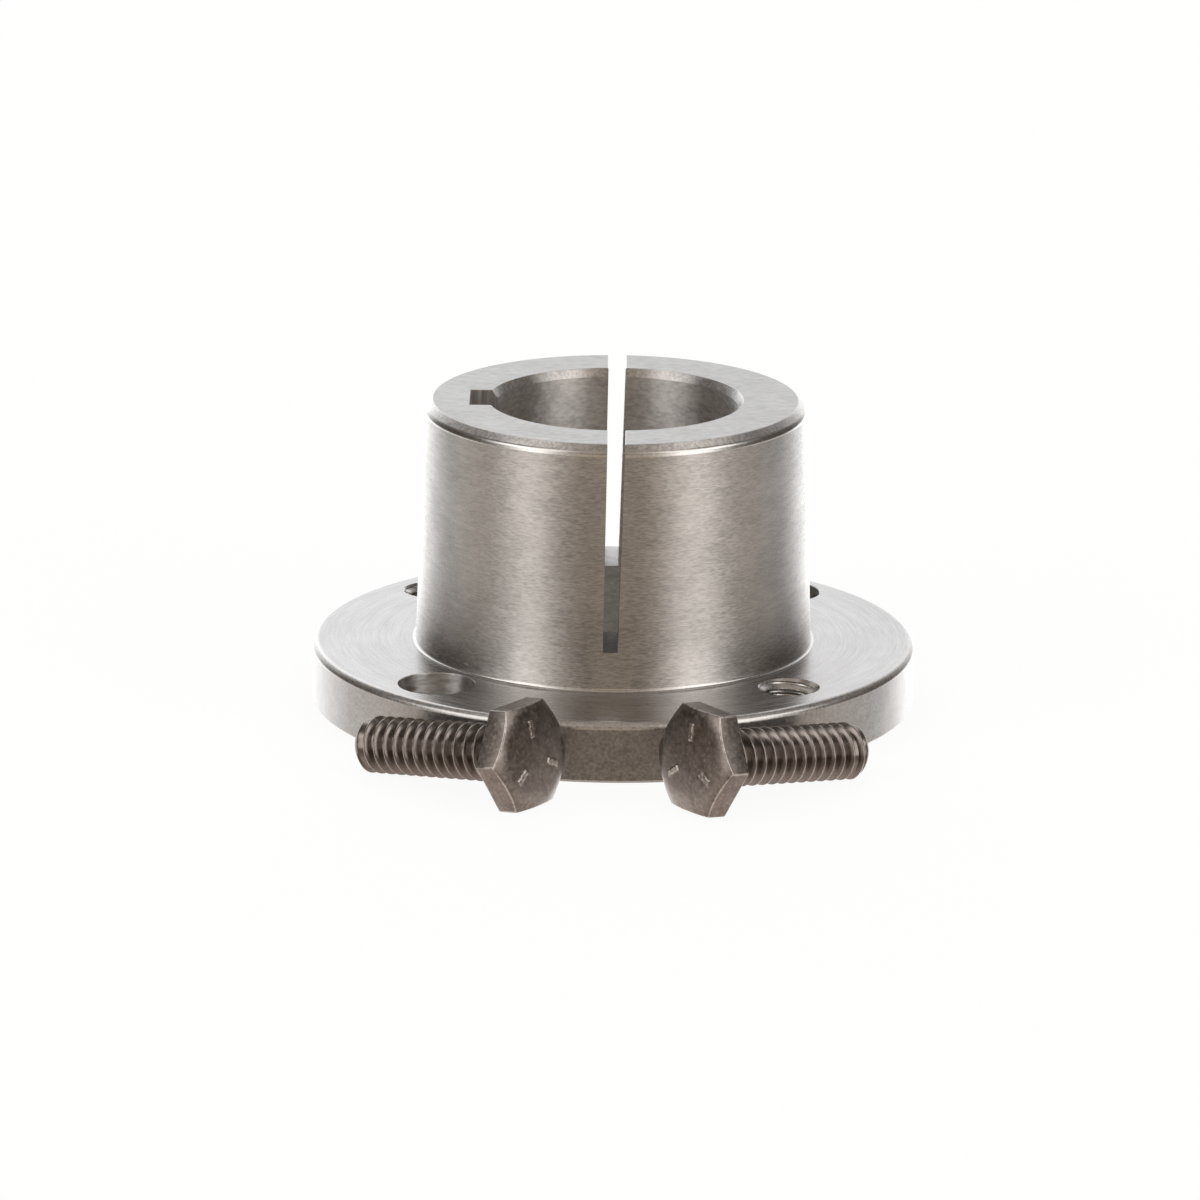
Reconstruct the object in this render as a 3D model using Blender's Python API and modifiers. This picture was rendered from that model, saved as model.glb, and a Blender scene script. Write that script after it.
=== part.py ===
"""Split taper bushing with its two loose hex cap screws.

World frame in metres, +Z up.  The bushing stands on the back of its flange with
its axis vertical, and the two screws lie on the same floor in front of it (-Y).
"""
import math

import bmesh
import bpy
from mathutils import Matrix, Vector

MM = 0.001

# Bushing: overall turning
TOTAL_LENGTH = 32.0 * MM
FLANGE_RADIUS = 31.45 * MM
FLANGE_THICKNESS = 6.35 * MM
FLANGE_TOP_CHAMFER = 0.50 * MM
FLANGE_BACK_CHAMFER = 0.30 * MM
BARREL_BASE_RADIUS = 20.62 * MM
BARREL_TAPER = 1.0 / 32.0
BASE_FILLET = 0.80 * MM
BASE_FILLET_STEPS = 3
NOSE_FACE_RADIUS = 18.95 * MM
NOSE_CHAMFER_HEIGHT = 0.84 * MM
BORE_RADIUS = 12.70 * MM
BORE_CHAMFER_RADIAL = 0.55 * MM
BORE_CHAMFER_AXIAL = 0.83 * MM
BORE_BACK_CHAMFER = 0.50 * MM
TURNED_STEPS = 128

# Bushing: keyway on the -X side, full length
KEYWAY_WIDTH = 6.35 * MM
KEYWAY_FLOOR = 15.08 * MM
KEYWAY_START = 8.0 * MM

# Bushing: one straight saw cut through the front and rear walls, from the nose
SLOT_FLOOR_Z = 10.5 * MM
SLOT_WIDTH_NOSE = 1.81 * MM
SLOT_WIDTH_FLOOR = 1.52 * MM
SLOT_X_NOSE = 0.135 * MM
SLOT_X_FLOOR = -0.29 * MM
SLOT_HALF_SPAN = 24.0 * MM

# Bushing: four holes through the flange, (angle in degrees, radius from the axis)
CLEARANCE_HOLES = ((225.0, 25.42 * MM), (45.0, 25.60 * MM))
TAPPED_HOLES = ((315.0, 25.42 * MM), (138.0, 26.00 * MM))
CLEARANCE_RADIUS = 3.93 * MM
CLEARANCE_STEPS = 48
TAP_MINOR_RADIUS = 2.45 * MM
TAP_MAJOR_RADIUS = 3.02 * MM
COUNTERSINK_RADIUS = 3.17 * MM
COUNTERSINK_DEPTH = 0.45 * MM
COUNTERSINK_STEPS = 32
CUT_OVERRUN = 2.0 * MM

# Thread shared by the tapped holes and the screws (20 turns per inch, right hand)
THREAD_PITCH = 1.27 * MM
THREAD_CREST_FLAT = THREAD_PITCH / 8.0
THREAD_ROOT_FLAT = THREAD_PITCH / 4.0
THREAD_STEPS = 24

# Cap screws, measured from the bearing face of the head
HEAD_ACROSS_FLATS = 10.35 * MM
HEAD_HEIGHT = 3.10 * MM
HEAD_TOP_RADIUS = 4.80 * MM
HEAD_CHAMFER_SLOPE = math.tan(math.radians(30.0))
HEAD_STEPS = 48
SHANK_LENGTH = 18.50 * MM
SCREW_CREST_RADIUS = 2.92 * MM
SCREW_ROOT_RADIUS = 2.22 * MM
NECK_LENGTH = 1.50 * MM
NECK_HEAD_RADIUS = 2.80 * MM
NECK_THREAD_RADIUS = 2.30 * MM
NECK_STEPS = 46
TIP_CHAMFER_LENGTH = 0.90 * MM
TIP_RADIUS = 2.10 * MM
HEAD_OVERLAP = 0.60 * MM

# Where the pieces stand.  The bushing axis is set back so that the middle of the
# whole set is over the origin.
BUSHING_Y = 7.033 * MM
SCREW_LEFT_X = -9.91 * MM
SCREW_LEFT_SETBACK = -38.42 * MM
SCREW_LEFT_YAW = 143.6
SCREW_RIGHT_X = 9.98 * MM
SCREW_RIGHT_SETBACK = -39.31 * MM
SCREW_RIGHT_YAW = 37.4

STEEL_COLOUR = (0.42, 0.39, 0.36, 1.0)
STEEL_ROUGHNESS = 0.38
OXIDE_COLOUR = (0.055, 0.048, 0.043, 1.0)
OXIDE_ROUGHNESS = 0.45
SHARP_ANGLE = math.radians(25.0)
MERGE_DISTANCE = 0.002 * MM


def clear_scene():
    for obj in list(bpy.data.objects):
        bpy.data.objects.remove(obj, do_unlink=True)


def new_collection(name):
    collection = bpy.data.collections.new(name)
    bpy.context.scene.collection.children.link(collection)
    return collection


def steel_material(name, colour, roughness):
    material = bpy.data.materials.new(name)
    material.use_nodes = True
    shader = material.node_tree.nodes["Principled BSDF"]
    shader.inputs["Base Color"].default_value = colour
    shader.inputs["Roughness"].default_value = roughness
    shader.inputs["Metallic"].default_value = 1.0
    return material


def object_from_bmesh(bm, name, collection):
    mesh = bpy.data.meshes.new(name)
    bm.to_mesh(mesh)
    bm.free()
    obj = bpy.data.objects.new(name, mesh)
    collection.objects.link(obj)
    return obj


def profile_object(name, points, collection, steps, closed):
    """A profile in the XZ half plane, turned about Z by a Screw modifier."""
    bm = bmesh.new()
    verts = [bm.verts.new((r, 0.0, z)) for r, z in points]
    for first, second in zip(verts, verts[1:]):
        bm.edges.new((first, second))
    if closed:
        bm.edges.new((verts[-1], verts[0]))
    obj = object_from_bmesh(bm, name, collection)
    turn = obj.modifiers.new("turn", "SCREW")
    turn.axis = "Z"
    turn.angle = math.tau
    turn.steps = steps
    turn.render_steps = steps
    turn.use_merge_vertices = True
    turn.merge_threshold = MERGE_DISTANCE
    turn.use_normal_calculate = True
    return obj


def hide_cutter(obj):
    obj.hide_render = True
    obj.display_type = "WIRE"


def add_boolean(obj, cutter, operation):
    modifier = obj.modifiers.new(cutter.name, "BOOLEAN")
    modifier.operation = operation
    modifier.solver = "EXACT"
    modifier.object = cutter
    hide_cutter(cutter)
    return modifier


def fillet_points(radius, z_floor):
    """Inside corner between the barrel and the flange face, top to bottom."""
    points = []
    for step in range(BASE_FILLET_STEPS + 1):
        angle = math.pi + step * (math.pi / 2.0) / BASE_FILLET_STEPS
        r = radius + BASE_FILLET * (1.0 + math.cos(angle))
        z = z_floor + BASE_FILLET * (1.0 + math.sin(angle))
        points.append((r, z))
    return points


def barrel_radius(z):
    return BARREL_BASE_RADIUS - BARREL_TAPER * (z - FLANGE_THICKNESS)


def bushing_profile():
    nose_shoulder = TOTAL_LENGTH - NOSE_CHAMFER_HEIGHT
    outer = [(NOSE_FACE_RADIUS, TOTAL_LENGTH), (barrel_radius(nose_shoulder), nose_shoulder)]
    outer += fillet_points(barrel_radius(FLANGE_THICKNESS + BASE_FILLET), FLANGE_THICKNESS)
    outer.append((FLANGE_RADIUS - FLANGE_TOP_CHAMFER, FLANGE_THICKNESS))
    outer.append((FLANGE_RADIUS, FLANGE_THICKNESS - FLANGE_TOP_CHAMFER))
    outer.append((FLANGE_RADIUS, FLANGE_BACK_CHAMFER))
    outer.append((FLANGE_RADIUS - FLANGE_BACK_CHAMFER, 0.0))
    inner = [(BORE_RADIUS + BORE_BACK_CHAMFER, 0.0), (BORE_RADIUS, BORE_BACK_CHAMFER)]
    inner.append((BORE_RADIUS, TOTAL_LENGTH - BORE_CHAMFER_AXIAL))
    inner.append((BORE_RADIUS + BORE_CHAMFER_RADIAL, TOTAL_LENGTH))
    return outer + inner


def box_cutter(name, low, high, collection):
    bm = bmesh.new()
    bmesh.ops.create_cube(bm, size=1.0)
    size = Vector(high) - Vector(low)
    middle = (Vector(high) + Vector(low)) / 2.0
    bmesh.ops.scale(bm, vec=size, verts=bm.verts)
    bmesh.ops.translate(bm, vec=middle, verts=bm.verts)
    return object_from_bmesh(bm, name, collection)


def slot_x_at(z, side):
    """X of one wall of the saw cut at height z; side is -1 or +1."""
    share = (z - SLOT_FLOOR_Z) / (TOTAL_LENGTH - SLOT_FLOOR_Z)
    middle = SLOT_X_FLOOR + share * (SLOT_X_NOSE - SLOT_X_FLOOR)
    width = SLOT_WIDTH_FLOOR + share * (SLOT_WIDTH_NOSE - SLOT_WIDTH_FLOOR)
    return middle + side * width / 2.0


def slot_cutter(collection):
    """A wedge a little wider at the nose, leaning the way the cut leans."""
    top = TOTAL_LENGTH + CUT_OVERRUN
    low = (-SLOT_WIDTH_NOSE, -SLOT_HALF_SPAN, SLOT_FLOOR_Z)
    high = (SLOT_WIDTH_NOSE, SLOT_HALF_SPAN, top)
    cutter = box_cutter("cut_slot", low, high, collection)
    for vertex in cutter.data.vertices:
        side = math.copysign(1.0, vertex.co.x)
        vertex.co.x = slot_x_at(vertex.co.z, side)
    return cutter


def polar(angle_degrees, radius):
    angle = math.radians(angle_degrees)
    return Vector((radius * math.cos(angle), radius * math.sin(angle), 0.0))


def clearance_cutter(name, centre, collection):
    bm = bmesh.new()
    depth = FLANGE_THICKNESS + 2.0 * CUT_OVERRUN
    bmesh.ops.create_cone(
        bm,
        cap_ends=True,
        segments=CLEARANCE_STEPS,
        radius1=CLEARANCE_RADIUS,
        radius2=CLEARANCE_RADIUS,
        depth=depth,
    )
    bmesh.ops.translate(bm, vec=centre + Vector((0.0, 0.0, FLANGE_THICKNESS / 2.0)), verts=bm.verts)
    return object_from_bmesh(bm, name, collection)


def countersink_cutter(name, centre, face_z, outward, collection):
    """A cone that breaks the mouth of a tapped hole; outward is -1 or +1 along Z."""
    bm = bmesh.new()
    inner = COUNTERSINK_RADIUS - COUNTERSINK_DEPTH
    outer = COUNTERSINK_RADIUS + COUNTERSINK_DEPTH
    bmesh.ops.create_cone(
        bm,
        cap_ends=True,
        segments=COUNTERSINK_STEPS,
        radius1=inner if outward > 0 else outer,
        radius2=outer if outward > 0 else inner,
        depth=2.0 * COUNTERSINK_DEPTH,
    )
    bmesh.ops.translate(bm, vec=centre + Vector((0.0, 0.0, face_z)), verts=bm.verts)
    return object_from_bmesh(bm, name, collection)


def cut_end_flat(bm, z, outward):
    """Cut the thread off square at height z and close the end."""
    geometry = bm.verts[:] + bm.edges[:] + bm.faces[:]
    bmesh.ops.bisect_plane(
        bm,
        geom=geometry,
        dist=MERGE_DISTANCE / 10.0,
        plane_co=(0.0, 0.0, z),
        plane_no=(0.0, 0.0, outward),
        clear_outer=True,
    )
    rim = [edge for edge in bm.edges if edge.is_boundary and abs(edge.verts[0].co.z - z) < MERGE_DISTANCE]
    rim = [edge for edge in rim if abs(edge.verts[1].co.z - z) < MERGE_DISTANCE]
    bmesh.ops.contextual_create(bm, geom=rim)


def thread_bmesh(root_radius, crest_radius, z_low, z_high):
    """A right-hand thread about Z as one closed body with square ends."""
    flank = (THREAD_PITCH - THREAD_CREST_FLAT - THREAD_ROOT_FLAT) / 2.0
    turns = math.ceil((z_high - z_low) / THREAD_PITCH) + 3
    z = z_low - 2.0 * THREAD_PITCH
    points = []
    for _ in range(turns):
        points.append((root_radius, z))
        points.append((root_radius, z + THREAD_ROOT_FLAT))
        points.append((crest_radius, z + THREAD_ROOT_FLAT + flank))
        points.append((crest_radius, z + THREAD_ROOT_FLAT + flank + THREAD_CREST_FLAT))
        z += THREAD_PITCH
    points.append((root_radius, z))
    bm = bmesh.new()
    verts = [bm.verts.new((r, 0.0, height)) for r, height in points]
    edges = [bm.edges.new(pair) for pair in zip(verts, verts[1:])]
    bmesh.ops.spin(
        bm,
        geom=verts + edges,
        axis=(0.0, 0.0, 1.0),
        cent=(0.0, 0.0, 0.0),
        dvec=(0.0, 0.0, THREAD_PITCH / THREAD_STEPS),
        angle=math.tau,
        steps=THREAD_STEPS,
        use_duplicate=False,
    )
    bmesh.ops.remove_doubles(bm, verts=bm.verts, dist=MERGE_DISTANCE)
    cut_end_flat(bm, z_low, -1.0)
    cut_end_flat(bm, z_high, 1.0)
    bmesh.ops.recalc_face_normals(bm, faces=bm.faces)
    return bm


def tap_cutter(name, centre, collection):
    bm = thread_bmesh(TAP_MINOR_RADIUS, TAP_MAJOR_RADIUS, -CUT_OVERRUN, FLANGE_THICKNESS + CUT_OVERRUN)
    bmesh.ops.translate(bm, vec=centre, verts=bm.verts)
    return object_from_bmesh(bm, name, collection)


def build_bushing(collection, cutters, material):
    bushing = profile_object("split_taper_bushing", bushing_profile(), collection, TURNED_STEPS, True)
    half = KEYWAY_WIDTH / 2.0
    low = (-KEYWAY_FLOOR, -half, -CUT_OVERRUN)
    high = (-KEYWAY_START, half, TOTAL_LENGTH + CUT_OVERRUN)
    tools = [box_cutter("cut_keyway", low, high, cutters), slot_cutter(cutters)]
    for index, (angle, radius) in enumerate(CLEARANCE_HOLES):
        tools.append(clearance_cutter("cut_clearance_%d" % index, polar(angle, radius), cutters))
    for index, (angle, radius) in enumerate(TAPPED_HOLES):
        centre = polar(angle, radius)
        tools.append(tap_cutter("cut_tap_%d" % index, centre, cutters))
        tools.append(countersink_cutter("cut_sink_top_%d" % index, centre, FLANGE_THICKNESS, 1, cutters))
        tools.append(countersink_cutter("cut_sink_back_%d" % index, centre, 0.0, -1, cutters))
    for tool in tools:
        tool.location = (0.0, BUSHING_Y, 0.0)
        add_boolean(bushing, tool, "DIFFERENCE")
    bushing.location = (0.0, BUSHING_Y, 0.0)
    bushing.data.materials.append(material)
    return bushing


def head_blank(name, collection):
    """The hexagon, flats up and down, from the bearing face back along -Z."""
    bm = bmesh.new()
    corner = HEAD_ACROSS_FLATS / math.sqrt(3.0)
    bmesh.ops.create_cone(
        bm,
        cap_ends=True,
        segments=6,
        radius1=corner,
        radius2=corner,
        depth=HEAD_HEIGHT,
    )
    bmesh.ops.rotate(bm, matrix=Matrix.Rotation(math.pi / 2.0, 3, "Z"), verts=bm.verts)
    bmesh.ops.translate(bm, vec=(0.0, 0.0, -HEAD_HEIGHT / 2.0), verts=bm.verts)
    return object_from_bmesh(bm, name, collection)


def head_chamfer_tool(name, collection):
    """A cone frustum that the hexagon is kept inside, for the 30 degree top chamfer."""
    top = -HEAD_HEIGHT
    reach = HEAD_ACROSS_FLATS
    drop = (reach - HEAD_TOP_RADIUS) * HEAD_CHAMFER_SLOPE
    under = max(top + drop, 0.0) + CUT_OVERRUN
    points = [(0.0, under), (reach, under), (reach, top + drop), (HEAD_TOP_RADIUS, top), (0.0, top)]
    return profile_object(name, points, collection, HEAD_STEPS, False)


def shank_envelope(name, collection):
    """The space the thread is kept inside: a plain cylinder with a chamfered tip."""
    shoulder = SHANK_LENGTH - TIP_CHAMFER_LENGTH
    wide = SCREW_CREST_RADIUS + CUT_OVERRUN
    low = -HEAD_OVERLAP - CUT_OVERRUN
    reach = SCREW_CREST_RADIUS + (SCREW_CREST_RADIUS - TIP_RADIUS)
    points = [(0.0, SHANK_LENGTH), (TIP_RADIUS, SHANK_LENGTH)]
    points.append((reach, shoulder - TIP_CHAMFER_LENGTH))
    points += [(wide, shoulder - 2.0 * TIP_CHAMFER_LENGTH), (wide, low), (0.0, low)]
    return profile_object(name, points, collection, HEAD_STEPS, False)


def neck_body(name, collection):
    """Short neck under the head where the thread runs out."""
    points = [(0.0, NECK_LENGTH), (NECK_THREAD_RADIUS, NECK_LENGTH)]
    points += [(NECK_HEAD_RADIUS, 0.0), (NECK_HEAD_RADIUS, -HEAD_OVERLAP), (0.0, -HEAD_OVERLAP)]
    return profile_object(name, points, collection, NECK_STEPS, False)


def screw_tilt():
    """Lean of a screw that rests on the back edge of one head flat and on its tip."""
    rise = HEAD_ACROSS_FLATS / 2.0 - SCREW_CREST_RADIUS
    run = SHANK_LENGTH - TIP_CHAMFER_LENGTH
    return math.atan2(rise, run)


def screw_matrix(x, y, yaw_degrees):
    """Local Z runs from the head to the tip, local X is level."""
    yaw = math.radians(yaw_degrees)
    tilt = screw_tilt()
    run = math.cos(tilt)
    along = Vector((math.cos(yaw) * run, math.sin(yaw) * run, -math.sin(tilt)))
    level = Vector((-math.sin(yaw), math.cos(yaw), 0.0))
    up = along.cross(level)
    height = HEAD_ACROSS_FLATS / 2.0 * run
    matrix = Matrix((level, up, along)).transposed().to_4x4()
    matrix.translation = Vector((x, y, height))
    return matrix


def build_screw(name, matrix, collection, cutters, material):
    prefix = name + "_"
    shank_start = NECK_LENGTH / 2.0
    bm = thread_bmesh(SCREW_ROOT_RADIUS, SCREW_CREST_RADIUS, shank_start, SHANK_LENGTH + CUT_OVERRUN)
    screw = object_from_bmesh(bm, name, collection)
    envelope = shank_envelope(prefix + "envelope", cutters)
    neck = neck_body(prefix + "neck", cutters)
    head = head_blank(prefix + "head", cutters)
    chamfer = head_chamfer_tool(prefix + "chamfer", cutters)
    add_boolean(head, chamfer, "INTERSECT")
    add_boolean(screw, envelope, "INTERSECT")
    add_boolean(screw, neck, "UNION")
    add_boolean(screw, head, "UNION")
    for obj in (screw, envelope, neck, head, chamfer):
        obj.matrix_world = matrix
    screw.data.materials.append(material)
    return screw


def finish_piece(obj):
    """Apply the modifiers and shade the round surfaces smooth, with sharp edges kept."""
    depsgraph = bpy.context.evaluated_depsgraph_get()
    finished = bpy.data.meshes.new_from_object(obj.evaluated_get(depsgraph), depsgraph=depsgraph)
    old = obj.data
    obj.modifiers.clear()
    obj.data = finished
    finished.name = obj.name
    bpy.data.meshes.remove(old)
    finished.shade_smooth()
    finished.set_sharp_from_angle(angle=SHARP_ANGLE)


def main():
    clear_scene()
    parts = new_collection("split_taper_bushing_set")
    cutters = new_collection("cutters")
    steel = steel_material("turned_steel", STEEL_COLOUR, STEEL_ROUGHNESS)
    oxide = steel_material("black_oxide_steel", OXIDE_COLOUR, OXIDE_ROUGHNESS)
    bushing = build_bushing(parts, cutters, steel)
    left_y = BUSHING_Y + SCREW_LEFT_SETBACK
    right_y = BUSHING_Y + SCREW_RIGHT_SETBACK
    left = screw_matrix(SCREW_LEFT_X, left_y, SCREW_LEFT_YAW)
    right = screw_matrix(SCREW_RIGHT_X, right_y, SCREW_RIGHT_YAW)
    pieces = [bushing]
    pieces.append(build_screw("cap_screw_left", left, parts, cutters, oxide))
    pieces.append(build_screw("cap_screw_right", right, parts, cutters, oxide))
    bpy.context.view_layer.update()
    for piece in pieces:
        finish_piece(piece)
    for tool in list(cutters.objects):
        bpy.data.objects.remove(tool, do_unlink=True)
    bpy.data.collections.remove(cutters)


main()
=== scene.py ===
"""Looks of a split taper bushing and its two loose hex cap screws.

Everything is in metres in the CAD model's frame: +Z up, the bushing's axis vertical,
the screws lying in front of it at -Y. Each CAD solid is replaced by a finished one
made of turned profiles, blocks and real threads.
"""
import math

import bmesh
import bpy
from mathutils import Matrix, Vector


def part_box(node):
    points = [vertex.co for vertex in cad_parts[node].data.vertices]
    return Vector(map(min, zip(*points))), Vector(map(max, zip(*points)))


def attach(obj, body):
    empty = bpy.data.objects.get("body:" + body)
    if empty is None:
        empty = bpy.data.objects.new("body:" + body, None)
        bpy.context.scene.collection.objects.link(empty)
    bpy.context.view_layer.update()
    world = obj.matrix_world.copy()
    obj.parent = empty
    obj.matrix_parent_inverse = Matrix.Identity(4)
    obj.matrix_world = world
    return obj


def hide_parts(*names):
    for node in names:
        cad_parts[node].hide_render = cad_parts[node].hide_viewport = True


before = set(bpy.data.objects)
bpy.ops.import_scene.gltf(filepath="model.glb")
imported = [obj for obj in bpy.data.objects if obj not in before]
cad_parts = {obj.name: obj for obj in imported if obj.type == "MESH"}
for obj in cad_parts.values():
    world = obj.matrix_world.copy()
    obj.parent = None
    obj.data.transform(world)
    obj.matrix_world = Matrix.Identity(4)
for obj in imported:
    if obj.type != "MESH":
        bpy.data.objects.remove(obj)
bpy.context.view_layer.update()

MM = 0.001

# Bushing, turned profile
BUSHING_LOW, BUSHING_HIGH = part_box("split_taper_bushing")
AXIS = Vector(((BUSHING_LOW.x + BUSHING_HIGH.x) / 2.0, (BUSHING_LOW.y + BUSHING_HIGH.y) / 2.0, 0.0))
TOTAL_LENGTH = BUSHING_HIGH.z
FLANGE_RADIUS = (BUSHING_HIGH.x - BUSHING_LOW.x) / 2.0
FLANGE_THICKNESS = 6.35 * MM
FLANGE_TOP_CHAMFER = 0.50 * MM
FLANGE_BACK_CHAMFER = 0.30 * MM
BARREL_BASE_RADIUS = 20.62 * MM
BARREL_TAPER = 1.0 / 32.0
BASE_FILLET = 0.42 * MM
NOSE_FACE_RADIUS = 18.95 * MM
NOSE_CHAMFER_HEIGHT = 0.84 * MM
BORE_RADIUS = 12.70 * MM
BORE_CHAMFER_RADIAL = 0.55 * MM
BORE_CHAMFER_AXIAL = 0.83 * MM
BORE_BACK_CHAMFER = 0.50 * MM
EDGE_BREAK = 0.07 * MM
FLANGE_ROUND = 0.72 * MM
NOSE_ROUND = 0.90 * MM
NOSE_FACE_ROUND = 0.22 * MM
BUSHING_STEPS = 240

# How far a face's normal points up or down, for telling the faces of the turning apart
LEVEL_FACE_RISE = 0.97
SLOPING_FACE_RISE = 0.05
NOSE_CHAMFER_RISE = 0.707
SLOT_FLOOR_RISE = 0.9

# Roundings of a turned profile: large ones get more steps
LARGE_ROUND = 0.21 * MM
LARGE_ROUND_STEPS = 12
SMALL_ROUND_STEPS = 3

# Bushing, cuts
KEYWAY_WIDTH = 6.35 * MM
KEYWAY_FLOOR = 15.08 * MM
KEYWAY_START = 8.0 * MM
KEYWAY_LIP = 0.06 * MM
SLOT_FLOOR_Z = 10.5 * MM
SLOT_WIDTH_NOSE = 1.81 * MM
SLOT_WIDTH_FLOOR = 1.52 * MM
SLOT_X_NOSE = 0.135 * MM
SLOT_X_FLOOR = -0.29 * MM
SLOT_HALF_SPAN = 24.0 * MM
SLOT_LIP = 0.14 * MM
CLEARANCE_HOLES = ((225.0, 25.42 * MM), (45.0, 25.60 * MM))
TAPPED_HOLES = ((315.0, 25.42 * MM), (138.0, 26.00 * MM))
CLEARANCE_RADIUS = 3.93 * MM
CLEARANCE_LIP = 0.08 * MM
TAP_MINOR_RADIUS = 2.45 * MM
TAP_MAJOR_RADIUS = 3.02 * MM
COUNTERSINK_RADIUS = 3.17 * MM
COUNTERSINK_DEPTH = 0.45 * MM
HOLE_STEPS = 72
CUT_OVERRUN = 2.0 * MM
SMALL_OVERRUN = 1.0 * MM

# Thread, 20 turns per inch, right hand
THREAD_PITCH = 1.27 * MM
THREAD_STATIONS = 12
THREAD_LEAD_TURNS = 2
THREAD_SPARE_TURNS = 3

# Thread form: the flat root, the flank, and how much of the rise is straight or eased
THREAD_ROOT_SHARE = 0.16
THREAD_FLANK_SHARE = 0.76
THREAD_STRAIGHT_SHARE = 0.35
THREAD_EASED_SHARE = 0.65

# Steps per turn, and the turn that puts the start of the tapped threads where it shows
TAP_THREAD_STEPS = 60
TAP_TURN = math.radians(180.0)
SCREW_THREAD_STEPS = 84

# Cap screws, measured from the bearing face of the head
HEAD_ACROSS_FLATS = 10.35 * MM
HEAD_HEIGHT = 3.10 * MM
HEAD_TOP_RADIUS = 4.80 * MM
HEAD_CHAMFER_SLOPE = math.tan(math.radians(30.0))
HEAD_EDGE = 0.17 * MM
HEAD_TOP_EDGE_STEPS = 5
HEAD_LOW_EDGE_STEPS = 3
HEAD_CORNER = 0.18 * MM
HEAD_CHAMFER_BLEND = 0.33 * MM
HEAD_DOME = 0.08 * MM
HEAD_RING_STEP = 0.10 * MM
HEAD_BLEND_RINGS = 6

# Degrees past a corner of the head: the lines of points of half a side, and where the
# rounding of that corner ends and that of the next one starts
HEAD_SIDE_ANGLES = (0.0, 0.3, 0.6, 0.87) + tuple(1.8 + 1.41 * step for step in range(20))
HEAD_CORNER_DEGREES = (1.0, 59.5)

# Shank, neck and tip
SHANK_LENGTH = 18.50 * MM
SCREW_CREST_RADIUS = 2.92 * MM
SCREW_ROOT_RADIUS = 2.22 * MM
NECK_LENGTH = 1.50 * MM
NECK_FILLET = 0.30 * MM
NECK_HEAD_RADIUS = 2.80 * MM
NECK_THREAD_RADIUS = 2.30 * MM
NECK_ROUND = 2.0 * HEAD_EDGE
THREAD_START = NECK_LENGTH / 2.0
TIP_CHAMFER_LENGTH = 0.90 * MM
TIP_RADIUS = 2.10 * MM
TIP_ROUND = 3.0 * HEAD_EDGE
TIP_FILL_RADIUS = 2.64 * MM
TIP_FILL_LENGTH = 2.60 * MM
TIP_FILL_ROOT = SCREW_ROOT_RADIUS - 0.05 * MM
HEAD_OVERLAP = 0.60 * MM

# Steps round; they differ so that two bodies which are combined share no lines
ENVELOPE_STEPS = 96
SHANK_STEPS = 90

# Raised radial dashes on the head
MARK_LENGTH = 1.85 * MM
MARK_WIDTH = 0.78 * MM
MARK_HEIGHT = 0.14 * MM
MARK_SIDE_WIDTH = 1.3 * MARK_HEIGHT
MARK_RADIUS = 2.85 * MM
MARK_TURNS = (85.0, -35.0, -155.0)

# Body, x and y of the middle of the bearing face from the bushing's axis, yaw in degrees
SCREWS = {
    "cap_screw_left": ("left_screw", -9.91 * MM, -38.42 * MM, 143.6),
    "cap_screw_right": ("right_screw", 9.98 * MM, -39.31 * MM, 37.4),
}

# Camera: sensor and lens in millimetres, turns in degrees, place seen from the bushing's axis
SENSOR = 36.0
LENS = 210.90
CAMERA_BACK = 706.39 * MM
CAMERA_HEIGHT = 210.00 * MM
CAMERA_PITCH = 15.786
CAMERA_YAW = 0.115
CAMERA_ROLL = 0.543
CAMERA_CLIP = (0.01, 50.0)

# Floor, and the patch of it the flange stands on
FLOOR_SIZE = 12.0
FLOOR_ROUGHNESS = 0.9
FLOOR_DROP = 0.04 * MM
FLOOR_DIFFUSE = 0.10
FLOOR_GLOW = 0.93
PATCH_RADIUS = FLANGE_RADIUS - 0.5 * MM
PATCH_DROP = 0.02 * MM
PATCH_DIFFUSE = 0.85
PATCH_GLOW = 0.10
PATCH_SEGMENTS = 96

SHARP_ANGLE = math.radians(24.0)
MERGE_DISTANCE = 0.0005 * MM
OWN_PLACE = "own_place"
UP = (0.0, 0.0, 1.0)


# ---- mesh helpers

def object_from_bmesh(bm, name, materials=()):
    mesh = bpy.data.meshes.new(name)
    bm.to_mesh(mesh)
    bm.free()
    for material in materials:
        mesh.materials.append(material)
    obj = bpy.data.objects.new(name, mesh)
    bpy.context.scene.collection.objects.link(obj)
    return obj


def corner_arc(before, corner, after, radius, steps):
    """Points of a small arc that rounds one corner of a profile."""
    to_before = (before - corner).normalized()
    to_after = (after - corner).normalized()
    half = to_before.angle(to_after) / 2.0
    reach = radius / math.tan(half)
    start = corner + to_before * reach
    end = corner + to_after * reach
    centre = corner + (to_before + to_after).normalized() * (radius / math.sin(half))
    spoke = start - centre
    sweep = spoke.angle_signed(end - centre)
    points = []
    for step in range(steps + 1):
        turned = spoke.copy()
        turned.rotate(Matrix.Rotation(-sweep * step / steps, 2))
        points.append(centre + turned)
    return points


def rounded_profile(corners, closed):
    """corners are (r, z, rounding radius); a corner with no rounding stays sharp."""
    flat = [Vector((r, z)) for r, z, _ in corners]
    count = len(flat)
    points = []
    for index, (_, _, radius) in enumerate(corners):
        at_end = not closed and index in (0, count - 1)
        if at_end or radius <= 0.0:
            points.append(flat[index])
            continue
        steps = SMALL_ROUND_STEPS if radius < LARGE_ROUND else LARGE_ROUND_STEPS
        before = flat[index - 1]
        after = flat[(index + 1) % count]
        points += corner_arc(before, flat[index], after, radius, steps)
    return points


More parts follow.
